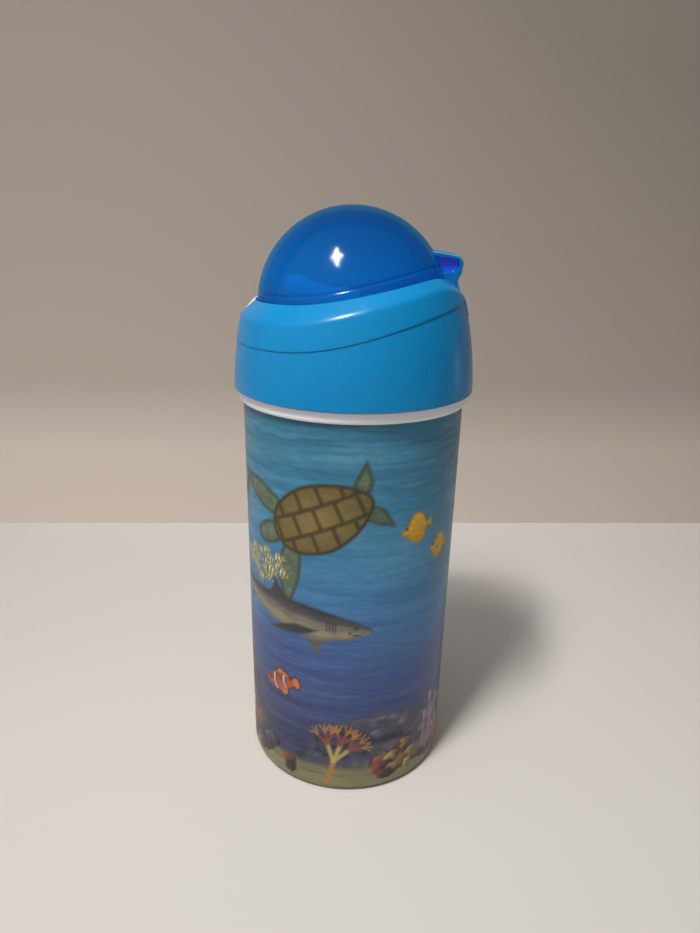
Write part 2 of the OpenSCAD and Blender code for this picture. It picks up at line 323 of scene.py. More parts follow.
def white_plastic():
    return moulded_plastic("white_plastic", colour(246, 245, 250), colour(238, 237, 243), 0.4)


def dome_plastic(name, tint, painted_light_low_tint, painted_shade_high_tint, cover):
    """Clear tinted plastic: what is behind shows through in the tint, under a glossy coloured skin. The
    skin's colour runs by height from the low tint to the high tint: painted light below, painted shade above.
    """
    g = Graph(name)
    split = g.node("SeparateXYZ")
    g.join(g.object_place(), split.inputs[0])
    # Painted light and painted shade: the skin is lighter low on the dome and darker towards its top.
    painted_light_skin = g.mix(g.remap(split.outputs["Z"], 0.168, 0.184, 0.0, 1.0), painted_light_low_tint, painted_shade_high_tint)
    haze = g.remap(g.noise(70, 3), 0.35, 0.65, 0.09, 0.16)
    g.set(Base_Color=painted_light_skin, Roughness=haze, IOR=1.5, Specular_IOR_Level=0.8)
    g.bump(g.noise(60, 2), 0.12, 0.05)
    clear = g.node("BsdfTransparent")
    clear.inputs["Color"].default_value = tint
    facing = g.node("LayerWeight")
    facing.inputs["Blend"].default_value = 0.25
    both = g.node("MixShader")
    g.join(g.remap(facing.outputs["Facing"], 0.45, 1.0, cover, 0.6), both.inputs[0])
    g.join(clear.outputs[0], both.inputs[1])
    g.join(g.shader.outputs[0], both.inputs[2])
    g.join(both.outputs[0], g.output.inputs[0])
    return g.material


def silicone():
    g = Graph("silicone")
    g.set(
        Base_Color=g.mix(g.noise(80, 3), colour(206, 214, 218), colour(228, 232, 234)),
        Roughness=g.remap(g.noise(300, 3), 0.3, 0.7, 0.42, 0.55),
        Subsurface_Weight=0.3,
        Subsurface_Scale=0.002,
    )
    return g.bump(g.noise(900, 2), 0.15, 0.02).material


def steel():
    g = Graph("steel")
    g.set(
        Base_Color=colour(196, 199, 203),
        Metallic=1.0,
        Roughness=g.remap(g.noise(800, 2, 0.5, g.stretched((0.05, 1, 1))), 0.3, 0.7, 0.18, 0.32),
    )
    return g.material


def straw_plastic():
    g = Graph("straw_plastic")
    g.set(
        Base_Color=g.mix(g.noise(50, 2), colour(186, 214, 232), colour(170, 204, 226)),
        Roughness=g.remap(g.noise(200, 3), 0.3, 0.7, 0.22, 0.32),
    )
    return g.bump(g.noise(120, 2, 0.5, g.stretched((1, 1, 0.05))), 0.2, 0.03).material


# ---------------------------------------------------------------- camera, light and stage
def add_camera():
    """The camera looks down a little on the front, from arm's length."""
    pitch, yaw, roll = 0.3279, -0.0023, 0.0224
    forward = Vector((math.sin(yaw) * math.cos(pitch), math.cos(yaw) * math.cos(pitch), -math.sin(pitch)))
    level = Vector((math.cos(yaw), -math.sin(yaw), 0))
    above = level.cross(forward)
    right = math.cos(roll) * level + math.sin(roll) * above
    up = -math.sin(roll) * level + math.cos(roll) * above
    data = bpy.data.cameras.new("camera")
    data.sensor_width = 36
    data.lens = 27.78
    data.clip_start = 0.01
    made = bpy.data.objects.new("camera", data)
    made.matrix_world = Matrix.Translation(
        Vector((0, -229.33, 182.57)) * MM
    ) @ Matrix((right, up, -forward)).transposed().to_4x4()
    bpy.context.scene.collection.objects.link(made)
    bpy.context.scene.camera = made


def add_area_light(name, place, target, width, height, power, tint):
    data = bpy.data.lights.new(name, "AREA")
    data.shape = "RECTANGLE"
    data.size, data.size_y = width * MM, height * MM
    data.energy = power
    data.color = tint[:3]
    made = bpy.data.objects.new(name, data)
    made.location = Vector(place) * MM
    made.rotation_mode = "QUATERNION"
    made.rotation_quaternion = (Vector(place) - Vector(target)).to_track_quat("Z", "Y")
    bpy.context.scene.collection.objects.link(made)
    return made


def stage_material(name, tint, one_sided=False):
    """Plain matt board. A one-sided board shows only from its front; painted shade darkens it upwards and to
    the right, above a band of painted light at its foot."""
    g = Graph(name)
    face = g.mix(g.noise(3, 2), tint, tuple(0.96 * c for c in tint[:3]) + (1,))
    if one_sided:
        # Painted shade and painted light: the board's colour darkens upwards and to the right, and lightens
        # in a band at its foot.
        toward = g.node("VectorMath", operation="DOT_PRODUCT")
        g.join(g.object_place(), toward.inputs[0])
        toward.inputs[1].default_value = (-0.62, 0, -1.9)
        split = g.node("SeparateXYZ")
        g.join(g.object_place(), split.inputs[0])
        painted_foot_light = g.remap(split.outputs["Z"], 0.05, 0.09, 1.33, 1.0)
        shade = g.math("MULTIPLY", painted_foot_light, g.remap(toward.outputs["Value"], -0.6, 0.2, 0.64, 1.44))
        face = g.mix(1.0, face, shade, "MULTIPLY")
    g.set(Base_Color=face, Roughness=0.7, Specular_IOR_Level=0.2)
    if one_sided:
        clear = g.node("BsdfTransparent")
        both = g.node("MixShader")
        g.join(g.node("NewGeometry").outputs["Backfacing"], both.inputs[0])
        g.join(g.shader.outputs[0], both.inputs[1])
        g.join(clear.outputs[0], both.inputs[2])
        g.join(both.outputs[0], g.output.inputs[0])
    return g.material


def add_stage():
    reach, wall_top, slope = 900, 700, WALL_SLOPE
    left, right = WALL_Y - slope * reach, WALL_Y + slope * reach
    floor = mesh_object(
        "floor", [(-reach, -reach, 0), (reach, -reach, 0), (reach, right, 0), (-reach, left, 0)],
        [(0, 1, 2, 3)],
    )
    floor.data.materials.append(stage_material("floor_board", colour(222, 221, 219)))
    wall = mesh_object(
        "wall", [(-reach, left, 0), (reach, right, 0), (reach, right, wall_top), (-reach, left, wall_top)],
        [(0, 1, 2, 3)],
    )
    wall.data.materials.append(stage_material("wall_board", colour(173, 164, 156), one_sided=True))


def add_lights():
    """A plain room that is brighter to the left, with one high lamp in front on the left."""
    world = bpy.data.worlds.new("studio")
    bpy.context.scene.world = world
    world.use_nodes = True
    tree = world.node_tree
    background = tree.nodes["Background"]
    background.inputs["Color"].default_value = colour(186, 184, 182)
    toward = tree.nodes.new("ShaderNodeVectorMath")
    toward.operation = "DOT_PRODUCT"
    tree.links.new(tree.nodes.new("ShaderNodeTexCoord").outputs["Generated"], toward.inputs[0])
    toward.inputs[1].default_value = (-0.9, -0.35, 0.25)
    shade = tree.nodes.new("ShaderNodeMapRange")
    for value, socket in zip((-1, 1, 0.18, 0.92), shade.inputs[1:5], strict=True):
        socket.default_value = value
    tree.links.new(toward.outputs["Value"], shade.inputs[0])
    tree.links.new(shade.outputs[0], background.inputs["Strength"])
    key = (-183, -292, 701)
    for name, width, height, turn, power in (("key", 60, 280, 28, 1.05), ("key_cross", 60, 150, -62, 0.6)):
        lamp = add_area_light(name, key, (0, 0, 150), width, height, power, colour(255, 248, 242))
        lamp.data.shape = "ELLIPSE"
        lamp.data.spread = math.radians(110)
        lamp.rotation_quaternion = lamp.rotation_quaternion @ Quaternion((0, 0, 1), math.radians(turn))
    add_area_light("window", (560, 210, 90), (30, 0, 150), 26, 110, 0.02, colour(236, 242, 255))


# ---------------------------------------------------------------- the collar
def collar_columns():
    """Plan lines of the collar from outside to opening: outer x, y, inner x, y, cut, lowered, kind.

    cut goes from 0, the bevel's own height, to 1, the floor of the hinge notch (kind 1) or the latch window
    (kind 2); lowered rounds the top edge of a cut's wall.
    """
    reach = 39.0
    notch_out, notch_in = np.array([38.9, 5.7]), np.array([27.61, 9.4])
    window_out = np.array([-math.sqrt(reach**2 - WINDOW_HALF**2), WINDOW_HALF])
    window_in = np.array([DOME_X - math.sqrt(OPENING_R**2 - WINDOW_HALF**2), WINDOW_HALF])
    fillet = 0.6
    rows = []

    def wall(outer, inner, across, kind, going_up):
        """Columns down or up a cut's wall, with a rounded top edge; across points away from the cut."""
        steps = []
        for share in (1.0, 0.7, 0.45, 0.25, 0.1, 0.0):
            away = fillet * share
            steps.append((away, 0.0, fillet - math.sqrt(fillet**2 - (fillet - away) ** 2)))
        for share in (0.3, 0.65, 1.0):
            steps.append((-0.02 * share, share, fillet))
        if going_up:
            steps.reverse()
        for away, cut, lowered in steps:
            o, i = outer + across * away, inner + across * away
            rows.append((*o, *i, cut, lowered, kind))

    for s in np.linspace(0, 1, 9, endpoint=False):
        rows.append(
            (
                notch_out[0] + 0.4 * (1 - s * s), notch_out[1] * s,
                DOME_X + OPENING_R * math.cos(NOTCH_A * s), OPENING_R * math.sin(NOTCH_A * s), 1, fillet, 1,
            )
        )
    line = notch_in - notch_out
    away = np.array([line[1], -line[0]]) / np.hypot(*line)
    wall(notch_out, notch_in, away, 1, True)
    out_a = [math.atan2(p[1], p[0]) for p in (notch_out + away * fillet, window_out + [0, fillet])]
    in_a = [math.atan2(p[1], p[0] - DOME_X) for p in (notch_in + away * fillet, window_in + [0, fillet])]
    steps = 96
    for s in np.linspace(0, 1, steps + 1)[1:-1]:
        ao, ai = out_a[0] + (out_a[1] - out_a[0]) * s, in_a[0] + (in_a[1] - in_a[0]) * s
        rows.append(
            (
                reach * math.cos(ao), reach * math.sin(ao), DOME_X + OPENING_R * math.cos(ai),
                OPENING_R * math.sin(ai), 0, 0, 0,
            )
        )
    wall(window_out, window_in, np.array([0, 1.0]), 2, False)
    for s in np.linspace(1, 0, 9)[1:]:
        y = WINDOW_HALF * s
        rows.append(
            (-math.sqrt(reach**2 - y * y), y, DOME_X - math.sqrt(OPENING_R**2 - y * y), y, 1, fillet, 2)
        )
    half = np.array(rows)
    other = half[1:-1][::-1] * [1, -1, 1, -1, 1, 1, 1]
    return np.concatenate([half, other])


class Collar:
    """Places on the collar, column by column."""

    def __init__(self):
        self.columns = collar_columns()
        self.outer, self.inner = self.columns[:, 0:2], self.columns[:, 2:4]
        self.cut, self.lowered, self.kind = self.columns[:, 4], self.columns[:, 5], self.columns[:, 6]
        self.along = self.inner - self.outer
        self.length = np.hypot(*self.along.T)
        self.ridge_z = np.full(len(self.columns), 157.0)
        for _ in range(30):
            self.ridge_z = 0.5 * self.ridge_z + 0.5 * self.top_height(
                self.share_at(side_r(self.ridge_z) + STEP_T)
            )
        self.step_z = np.minimum(step_height(self.side(self.ridge_z, 0)[:, 0]), self.ridge_z - 1.2)
        for _ in range(4):
            self.step_z = np.minimum(step_height(self.side(self.step_z, 0)[:, 0]), self.ridge_z - 1.2)

    def share_at(self, radius):
        """How far along each column, from 0 at its outer end to 1, a radius from the axis lies."""
        a = (self.along**2).sum(1)
        b = (self.outer * self.along).sum(1)
        c = (self.outer**2).sum(1) - radius**2
        return (-b - np.sqrt(b * b - a * c)) / a

    def plan(self, share):
        return self.outer + self.along * share[:, None]

    def top_height(self, share):
        x, y = self.plan(share).T
        floor = np.where(self.kind == 2, WINDOW_Z, notch_floor(x))
        return (bevel_height(x, y) - self.lowered) * (1 - self.cut) + floor * self.cut

    def side(self, z, proud):
        """Points on the collar's outer face at heights z, standing proud of the skirt's face."""
        xy = self.plan(self.share_at(side_r(z) + proud))
        return np.column_stack([xy, z])

    def top(self, share):
        return np.column_stack([self.plan(share), self.top_height(share)])

    def at(self, share, z):
        return np.column_stack([self.plan(share), np.broadcast_to(z, len(share))])


def bezel_points(c):
    """The bezel: its lip, side, ridge, bevel, rim and inner wall, one ring of points each."""
    ridge_f, rim_f, lip = 0.9, 0.4, 0.14
    ridge_share = c.share_at(side_r(c.ridge_z) + STEP_T)
    side_top = c.ridge_z - np.minimum(ridge_f, (c.ridge_z - c.step_z - lip) * 0.8)
    ridge = c.side(c.ridge_z, STEP_T)
    after = ridge_share + ridge_f / c.length
    before = 1 - rim_f / c.length
    rim = c.top(np.ones(len(ridge_share)))
    below = rim - [0, 0, rim_f]
    inside = c.share_at(side_r(c.step_z) - SKIRT_T - 0.06)
    rings = [
        c.side(c.step_z, -0.05), c.side(c.step_z, STEP_T - 0.1), c.side(c.step_z + lip * 0.4, STEP_T - 0.02),
    ]
    rings += [
        c.side(c.step_z + lip + (side_top - c.step_z - lip) * t, STEP_T)
        for t in np.linspace(0, 1, 12)
    ]
    rings += list(curve_between(rings[-1], ridge, c.top(after), 7))[1:]
    rings += [c.top(after + (before - after) * t) for t in np.linspace(0, 1, 7)[1:]]
    rings += list(curve_between(rings[-1], rim, below, 5))[1:]
    rings += [c.at(np.ones(len(inside)), below[:, 2] + (DECK_Z - below[:, 2]) * t) for t in (0.15, 0.5, 1)]
    rings += [c.at(inside, np.full(len(inside), DECK_Z)), c.at(inside, c.step_z)]
    return np.array(rings)


def skirt_points(c):
    """The skirt: its rounded lower edge, side, hidden top edge and inner face."""
    foot_f = 0.22
    z0 = np.full(len(c.step_z), COLLAR_Z)
    rings = list(curve_between(c.side(z0, -foot_f), c.side(z0, 0), c.side(z0 + foot_f, 0), 4))
    top = c.step_z - 0.05
    rings += [c.side(z0 + foot_f + (top - z0 - foot_f) * t, 0) for t in np.linspace(0, 1, 26)[1:]]
    rings += [
        c.side(top, -SKIRT_T + 0.02), c.side(z0 + (top - z0) * 0.5, -SKIRT_T + 0.02), c.side(z0, -SKIRT_T),
    ]
    return np.array(rings)


def make_collar():
    c = Collar()
    plastic = collar_plastic()
    for name, points, node in (
        ("collar_bezel_shell", bezel_points(c), "collar_bezel"),
        ("collar_skirt_shell", skirt_points(c), "collar_skirt"),
    ):
        rows, cols = points.shape[:2]
        shell = mesh_object(name, points, grid_faces(rows, cols, close_rows=True), 35)
        place(shell, "lid", "collar_blue", plastic, node)


# ---------------------------------------------------------------- the dome
def dome_shell():
    cols = 160
    a = np.linspace(0, 2 * math.pi, cols, endpoint=False)

    def ring(r, tilt):
        """Points on a sphere of radius r about the dome's centre; tilt is the angle above its equator."""
        return np.stack(
            [DOME_X + r * np.cos(tilt) * np.cos(a), r * np.cos(tilt) * np.sin(a), DOME_Z + r * np.sin(tilt)],
            -1,
        )

    def grooved_ring(tilt):
        """A ring of the outer face, with a shallow groove that follows the bezel's rim just above it."""
        x, _, z = ring(DOME_R, tilt).T
        return ring(DOME_R - 0.22 * np.exp(-(((z - edge_height(x) - 4.1) / 0.35) ** 2)), tilt)

    def edge_tilt(r, above):
        tilt = np.zeros(cols)
        for _ in range(20):
            x = DOME_X + r * np.cos(tilt) * np.cos(a)
            tilt = np.arcsin((edge_height(x) + above - DOME_Z) / r)
        return tilt

    quarter = math.pi / 2
    inner_r, round_f = DOME_R - DOME_T, 0.4
    rings = []
    for r, above in (
        (inner_r, 0.15), (inner_r + round_f, 0.0), (DOME_R - round_f, 0.0), (DOME_R - 0.1, 0.12),
    ):
        rings.append(ring(r, edge_tilt(r, above)))
    low = edge_tilt(DOME_R, round_f)
    groove_h = 6.0
    for h in np.arange(0, groove_h, 0.2):
        rings.append(grooved_ring(low + h / DOME_R))
    rows = 38
    low = low + groove_h / DOME_R
    for t in np.linspace(0, 1, rows, endpoint=False):
        rings.append(ring(DOME_R, low + (quarter - low) * t))
    outer_rings = len(rings)
    low = edge_tilt(inner_r, round_f)
    for t in np.linspace(0, 1, rows, endpoint=False)[::-1]:
        rings.append(ring(inner_r, low + (quarter - low) * t))
    points = np.concatenate(
        [np.array(rings).reshape(-1, 3), [[DOME_X, 0, DOME_Z + DOME_R], [DOME_X, 0, DOME_Z + inner_r]]]
    )
    n = len(rings)
    faces = [f for f in grid_faces(n, cols, close_rows=True).tolist()]
    bridge = set(range((outer_rings - 1) * cols, outer_rings * cols))
    faces = [f for k, f in enumerate(faces) if k not in bridge]
    top_out, top_in = n * cols, n * cols + 1
    last_out, first_in = (outer_rings - 1) * cols, outer_rings * cols
    for j in range(cols):
        k = (j + 1) % cols
        faces.append([last_out + j, last_out + k, top_out])
        faces.append([first_in + k, first_in + j, top_in])
    return mesh_object("dome_shell", points, faces)


def prism(name, outline, half):
    """An outline in X and Z, extruded along Y to both sides."""
    n = len(outline)
    points = [(x, side * half, z) for side in (-1, 1) for x, z in outline]
    faces = [[i, (i + 1) % n, n + (i + 1) % n, n + i] for i in range(n)]
    faces += [list(range(n))[::-1], [n + i for i in range(n)]]
    made = mesh_object(name, points, faces)
    bm = bmesh.new()
    bm.from_mesh(made.data)
    bmesh.ops.recalc_face_normals(bm, faces=bm.faces)
    bm.to_mesh(made.data)
    bm.free()
    return made


def lug_outline():
    back = [(20.0, 175.4), (22.6, 175.0), (27.6, 174.3)]
    round_end = arc(29.6, 171.2, 2.7, 80, -20, 12).tolist()
    nub = [(31.9, 168.3), (31.1, 167.0), (30.95, 166.2), (31.2, 165.0)]
    knuckle = arc(PIN_X, PIN_Z, 2.5, 25, -190, 18).tolist()
    return back + round_end + nub + knuckle + [(26.6, 165.6), (24.6, 166.6), (20.0, 167.4)]


def mark_lug(shell):
    """Material 1, painted shade in a deeper blue, for the faces of the lug's hollows; 2, a painted highlight
    in a paler blue, for its rounded edges.
    """
    for face in shell.data.polygons:
        x, y, z = (v / MM for v in face.center)
        if abs(y) < 3.4 or math.hypot(x - DOME_X, y, z - DOME_Z) < DOME_R + 0.12:
            continue
        round_end = (x - 29.3) ** 2 + (z - 171.2) ** 2 < 1.75**2
        if abs(y) < 5.55 and (round_end or x < 29.3) and 168.1 < z < 173.6:
            face.material_index = 1
        elif 0.2 < abs(face.normal.y) < 0.95:
            face.material_index = 2


def make_dome():
    shell = dome_shell()
    lug = prism("lug", lug_outline(), LUG_HALF)
    bevel(lug, 0.8, 4, 30)
    for side in (-1, 1):
        pocket = prism(
            "pocket",
            [(22, 173.5), (27.2, 173.0)] + arc(29.3, 171.2, 1.6, 80, -30, 8).tolist() + [
                (29.4, 168.7), (27, 168.4), (22, 168.2),
            ],
            1.8,
        )
        pocket.location.y = side * (LUG_HALF + 0.2) * MM
        bevel(pocket, 0.35, 3, 30)
        boolean(lug, pocket, "DIFFERENCE")
    inside = mesh_object(
        "inside", revolve(arc(0, 0, DOME_R - DOME_T, -90, 90, 48)[1:-1], 96), grid_faces(47, 96),
    )
    inside.location = Vector((DOME_X, 0, DOME_Z)) * MM
    cap_sphere(inside)
    boolean(lug, inside, "DIFFERENCE")
    boolean(shell, lug, "UNION")
    shell.name = "dome_shell"
    smooth(shell, 32)
    # The dome's skin: a lighter blue low down as painted light, a darker blue towards the top as painted
    # shade.
    tint, painted_light_low_tint, painted_shade_high_tint = colour(52, 200, 244), colour(0, 152, 232), colour(0, 106, 176)
    place(
        shell, "dome", "dome_blue", dome_plastic("dome_plastic", tint, painted_light_low_tint, painted_shade_high_tint, 0.24),
        "dome_cover",
    )
    # Painted shade: a deeper, less clear blue for the lug's hollows.
    shell.data.materials.append(
        dome_plastic("dome_hollow_painted_shade", colour(16, 130, 240), colour(0, 92, 232), colour(0, 92, 232), 0.82)
    )
    # Painted highlight: a paler blue for the lug's rounded edges.
    shell.data.materials.append(
        dome_plastic("dome_edge_painted_highlight", colour(130, 210, 246), colour(96, 172, 226), colour(96, 172, 226), 0.6)
    )
    mark_lug(shell)


def cap_sphere(thing):
    """Closes the two open ends of a turned grid."""
    bm = bmesh.new()
    bm.from_mesh(thing.data)
    bmesh.ops.holes_fill(bm, edges=[e for e in bm.edges if e.is_boundary])
    bmesh.ops.recalc_face_normals(bm, faces=bm.faces)
    bm.to_mesh(thing.data)
    bm.free()


# ---------------------------------------------------------------- the latch button
def make_button():
    foot = WINDOW_Z + 0.8
    profile = [
        (30.8, 158.9), (30.8, 159.55), (31.1, 159.8), (32.6, 158.3),
    ] + arc(33.5, 154.9, 1.5, 49, 5, 8).tolist()
    profile += [(side_r(z) + STEP_T - 0.1, z) for z in np.linspace(153.5, foot, 4)]
    profile += [(side_r(foot) - 1.7, foot), (34, 153.4), (33.2, 155.2), (31.4, 157.4)]
    cols = 25
    y = np.linspace(-BUTTON_HALF, BUTTON_HALF, cols)
    n = len(profile)
    points = [(-math.sqrt(r * r - v * v), v, z) for v in y for r, z in profile]
    faces = [
        [j * n + i, j * n + (i + 1) % n, (j + 1) * n + (i + 1) % n, (j + 1) * n + i]
        for j in range(cols - 1) for i in range(n)
    ]
    faces += [list(range(n)), [(cols - 1) * n + i for i in range(n)]]
    plate = mesh_object("latch_plate", points, faces)
    bm = bmesh.new()
    bm.from_mesh(plate.data)
    bmesh.ops.recalc_face_normals(bm, faces=bm.faces)
    bm.to_mesh(plate.data)
    bm.free()
    bevel(plate, 0.25, 3, 38)
    smooth(plate, 32)
    place(plate, "button", "white_plastic", white_plastic(), "latch_button")


# ---------------------------------------------------------------- the picture on the film
def tone(red, green, blue):
    return np.array([red, green, blue], float)


def blend_tones(share, *tones):
    """Tones mixed along share, from the first at 0 to the last at 1."""
    stops = np.linspace(0, 1, len(tones))
    return np.stack([np.interp(share, stops, [t[k] for t in tones]) for k in range(3)], -1)


def soft_step(value, low, high):
    t = np.clip((value - low) / (high - low), 0, 1)
    return t * t * (3 - 2 * t)


def outline_through(points, steps=8):
    """A smooth closed outline through a few points; a point with a third value of 1 stays a corner."""
    knots = np.array([p[:2] for p in points], float)
    corner = [len(p) > 2 for p in points]
    n, made = len(knots), []
    for i in range(n):
        a, b, c, d = knots[(i - 1) % n], knots[i], knots[(i + 1) % n], knots[(i + 2) % n]
        out_way = (c - b) / 2 if corner[i] else (c - a) / 2
        in_way = (c - b) / 2 if corner[(i + 1) % n] else (d - b) / 2
        for t in np.linspace(0, 1, steps, endpoint=False):
            t2, t3 = t * t, t**3
            made.append(
                (
                    2 * t3 - 3 * t2 + 1
                ) * b + (t3 - 2 * t2 + t) * out_way + (3 * t2 - 2 * t3) * c + (t3 - t2) * in_way
            )
    return np.array(made)


def distance_within(x, y, outline):
    """How far each place lies inside an outline; outside, the distance is negative."""
    nearest = np.full(x.shape, 1e9)
    inside = np.zeros(x.shape, bool)
    for (ax, ay), (bx, by) in zip(outline, np.roll(outline, -1, 0), strict=True):
        ex, ey = bx - ax, by - ay
        t = np.clip(((x - ax) * ex + (y - ay) * ey) / max(ex * ex + ey * ey, 1e-9), 0, 1)
        nearest = np.minimum(nearest, (x - ax - t * ex) ** 2 + (y - ay - t * ey) ** 2)
        crosses = (ay > y) != (by > y)
        inside ^= crosses & (x < ex * (y - ay) / (ey if ey else 1e-9) + ax)
    return np.where(inside, 1, -1) * np.sqrt(nearest)


class Picture:
    """Paint on the film, by formula at each point of its mesh: u runs round the wall and v up it."""

    def __init__(self, u, v, around):
        self.u, self.v, self.around = u, v, around
        self.rgb = np.zeros((len(u), 3))
        self.seed = 3

    def paint(self, cover, tones, where=slice(None)):
        cover = np.asarray(cover)[..., None]
        self.rgb[where] = self.rgb[where] * (1 - cover) + tones * cover

    def clouds(self, size_u, size_v, where=slice(None), layers=3):
        """A soft random pattern from about -1 to 1 that closes round the wall, with features of this size."""
        random = np.random.default_rng(self.seed)
        self.seed += 1
        total, weight = 0, 1.0
        for layer in range(layers):
            cols, rows = max(3, round(self.around / size_u * 2**layer)), 256
            grid = random.uniform(-1, 1, (rows, cols))
            across, up = (self.u[where] / self.around + 0.5) * cols, (self.v[where] + 20) / size_v * 2**layer
            i, j = np.floor(across).astype(int), np.floor(up).astype(int)
            s, t = (f * f * (3 - 2 * f) for f in (across - i, up - j))
            low = grid[j % rows, i % cols] * (1 - s) + grid[j % rows, (i + 1) % cols] * s
            high = grid[(j + 1) % rows, i % cols] * (1 - s) + grid[(j + 1) % rows, (i + 1) % cols] * s
            total = total + weight * (low * (1 - t) + high * t)
            weight *= 0.6
        return 1.2 * total

    def near(self, u0, v0, reach_u, reach_v, turn=0.0, flip=1):
        """The points near a place, and their place in a shape's own frame there."""
        du = (self.u - u0 + self.around / 2) % self.around - self.around / 2
        dv = self.v - v0
        reach = math.hypot(reach_u, reach_v) if turn else 0
        where = np.nonzero((abs(du) < max(reach_u, reach)) & (abs(dv) < max(reach_v, reach)))[0]
        c, s = math.cos(math.radians(turn)), math.sin(math.radians(turn))
        return where, (du[where] * c + dv[where] * s) * flip, dv[where] * c - du[where] * s

    def shape(self, place, points, tones, soft=0.55, cover=1.0):
        """Fills a smooth outline in the frame that near() gave, and returns how far inside it places are."""
        where, x, y = place
        inside = distance_within(x, y, outline_through(points))
        self.paint(soft_step(inside, -soft, soft) * cover, tones, where)
        return inside

    def stroke(self, place, points, width, tones, cover=1.0):
        """A soft line through a few points."""
        where, x, y = place
        nearest = np.full(x.shape, 1e9)
        for (ax, ay), (bx, by) in zip(points[:-1], points[1:], strict=True):
            ex, ey = bx - ax, by - ay
            t = np.clip(((x - ax) * ex + (y - ay) * ey) / (ex * ex + ey * ey), 0, 1)
            nearest = np.minimum(nearest, np.hypot(x - ax - t * ex, y - ay - t * ey))
        self.paint(soft_step(-nearest, -width, -width * 0.3) * cover, tones, where)


def paint_water(p):
    depth = np.clip(p.v / 132 + 0.05 * p.clouds(70, 40), 0, 1)
    p.rgb = blend_tones(
        depth, tone(56, 58, 88), tone(56, 66, 108), tone(60, 84, 138), tone(62, 118, 168),
        tone(66, 132, 172), tone(54, 124, 158), tone(60, 126, 156),
    )
    p.rgb += 8 * p.clouds(30, 2.0)[:, None]
    p.paint(0.4 * soft_step(p.clouds(18, 0.9), 0.2, 1.4) * soft_step(p.v, 84, 108), tone(118, 168, 184))
    p.paint(0.5 * soft_step(p.clouds(30, 2.2), 0.2, 1.3) * soft_step(p.v, 100, 124), tone(34, 80, 108))
    p.paint(
        0.45 * soft_step(p.clouds(40, 16), 0.0, 1.2) * soft_step(p.v, 50, 74) * soft_step(-p.v, -100, -84),
        tone(84, 156, 200),
    )
    p.paint(
        0.35 * soft_step(p.clouds(9, 0.9), 0.7, 1.6) * soft_step(p.v, 24, 40) * soft_step(-p.v, -70, -50),
        tone(112, 124, 176),
    )


def paint_sand(p):
    edge = 12.5 + 2.6 * np.cos(2 * math.pi * (p.u + 60) / p.around * 2) + 0.9 * p.clouds(12, 500)
    tones = blend_tones(
        soft_step(p.v, -2, 15), tone(138, 136, 98), tone(126, 124, 88), tone(98, 98, 78),
    ) + 9 * p.clouds(16, 1.4)[:, None]
    p.paint(soft_step(edge - p.v, -1.6, 2.0), tones)


def paint_bank(p, u0, half, height, seed, *tones):
    """A mottled bank of rock and coral that rises from the sand; tones run from its hollows to its tips."""
    p.seed = seed
    where, x, _ = p.near(u0, 0, half * 1.4, 90)
    v = p.v[where]
    profile = height * np.exp(-((abs(x) / half) ** 3)) + 2.2 * p.clouds(13, 500, where)
    big, fine = p.clouds(10, 5, where), p.clouds(3.4, 1.8, where)
    share = np.clip(0.45 + 0.25 * big + 0.25 * fine, 0, 1)
    p.paint(soft_step(profile - v, -1.4, 2.4) * soft_step(v, 6, 12), blend_tones(share, *tones), where)


def paint_knobs(p, u0, half, height, count, seed, *tones):
    """Rounded coral heads heaped up on the sand, the nearer ones lower and over the others."""
    random = np.random.default_rng(seed)
    heads = sorted((random.uniform(0.15, 1), random.normal(0, 0.5)) for _ in range(count))[::-1]
    for up, across in heads:
        size = random.uniform(1.6, 3.6)
        where, x, y = p.near(
            u0 + half * across, height * up * math.exp(-across * across) + 4, size * 1.3, size * 1.3,
        )
        bumps = 0.09 * np.sin(5 * np.arctan2(y, x) + 9 * up) * size
        inside = size + bumps - np.hypot(x, y * 1.15)
        tint = tones[random.integers(len(tones))] * random.uniform(0.75, 1.1)
        light = 0.75 + 0.35 * np.clip((y - x) / size, -1, 1) + 0.1 * p.clouds(2.4, 1.6, where)
        p.paint(0.9 * soft_step(inside, -0.25, 0.5), np.clip(tint * light[:, None], 0, 255), where)


def paint_coral(p, u0, v0, size, lean, tones):
    """A branching coral: strokes that fork from one foot."""
    place = p.near(u0, v0, size * 1.2, size * 1.3)

    def branch(x, y, angle, length, depth):
        end = (x + length * math.sin(angle), y + length * math.cos(angle))
        p.stroke(place, [(x, y), end], 0.42 + 0.34 * depth, tones[depth % len(tones)], 0.95)
        if depth:
            for fork in (-0.5, 0.12, 0.62):
                branch(*end, angle + fork, length * 0.68, depth - 1)

    branch(0, -size * 0.6, lean, size * 0.52, 3)


def paint_tubes(p, u0, v0, heights, tint, light):
    """Upright soft corals side by side, with pale tips."""
    for k, height in enumerate(heights):
        place = p.near(u0 + 2.7 * k, v0, 8, height + 6)
        sway = 1.2 * math.sin(2.1 * k)
        line = [(0, 0), (sway, height * 0.5), (sway * 0.4, height)]
        p.stroke(place, line, 1.7, tint)
        p.stroke(place, [(sway * 0.4 - 0.2, height - 1.5), (sway * 0.4 - 0.1, height)], 1.3, light)
        p.stroke(
            place, [(-0.5, 1), (sway - 0.5, height * 0.5), (sway * 0.4 - 0.5, height - 2)], 0.5, light, 0.6,
        )


SHARK_BACK = [
    (0, 0.0), (0.05, 0.032), (0.14, 0.058), (0.28, 0.08), (0.45, 0.08), (0.65, 0.056), (0.82, 0.032),
    (0.93, 0.026),
]
SHARK_BELLY = [
    (0, 0.0), (0.04, -0.026), (0.12, -0.055), (0.26, -0.086), (0.42, -0.084), (0.62, -0.052), (0.82, -0.016),
    (0.93, -0.006),
]


